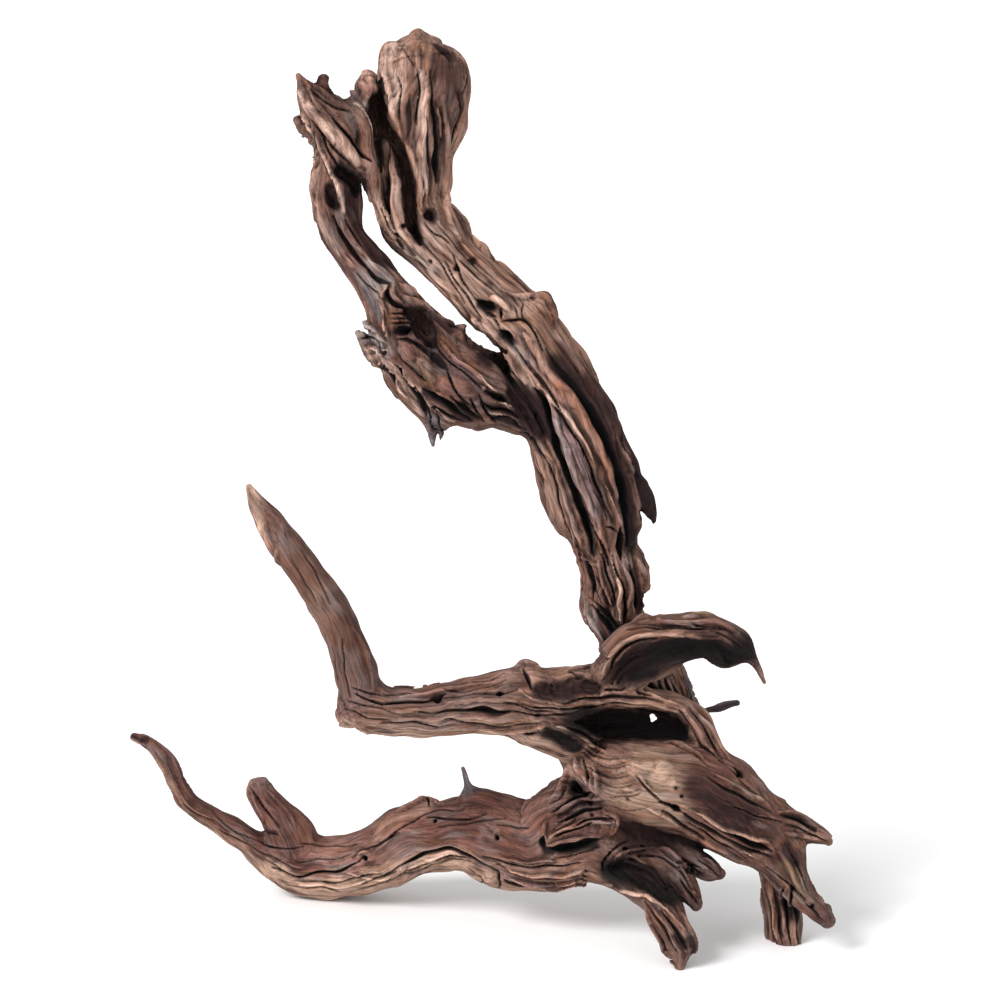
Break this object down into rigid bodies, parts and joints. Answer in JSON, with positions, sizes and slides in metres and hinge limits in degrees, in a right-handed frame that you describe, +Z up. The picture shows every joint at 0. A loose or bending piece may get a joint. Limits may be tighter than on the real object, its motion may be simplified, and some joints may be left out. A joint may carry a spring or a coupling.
{
  "type": "aquarium root wood",
  "caption": "Branching natural root wood for an aquarium: a tall twisted trunk with a knobbed crown and burl, over spreading roots with a hollow claw.",
  "frame": {"origin": "centre of the bottom of the bounding box, on the surface it stands on", "axes": "+Z up along the trunk, +X to the right of the picture's view, +Y away from it"},
  "size_m": [0.3628, 0.1242, 0.4596],
  "materials": {
    "wood_brown": "weathered, matt, with long cracks along the grain",
    "wood_pale": "weathered, matt, sun-bleached ridges",
    "wood_dark": "matt, dark in the hollows, splintered",
    "wood_smooth": "smooth, worn, matt reddish brown"
  },
  "bodies": {
    "root": {"trunk_lower": "wood_brown", "trunk_upper": "wood_brown", "crown_knob": "wood_pale", "trunk_foot": "wood_brown", "crown_wing": "wood_pale", "left_limb": "wood_brown", "burl": "wood_dark", "root_ball": "wood_brown", "root_lid": "wood_pale", "mid_root": "wood_brown", "horn": "wood_smooth", "low_root": "wood_brown", "low_root_tip": "wood_smooth", "low_root_stub": "wood_brown", "low_root_twig": "wood_dark", "claw_root": "wood_dark", "right_prong": "wood_brown", "right_toe": "wood_brown", "sawn_foot": "wood_brown", "front_leg": "wood_brown", "front_toe": "wood_brown", "front_prong": "wood_brown", "back_twig": "wood_dark"}
  },
  "joints": []
}
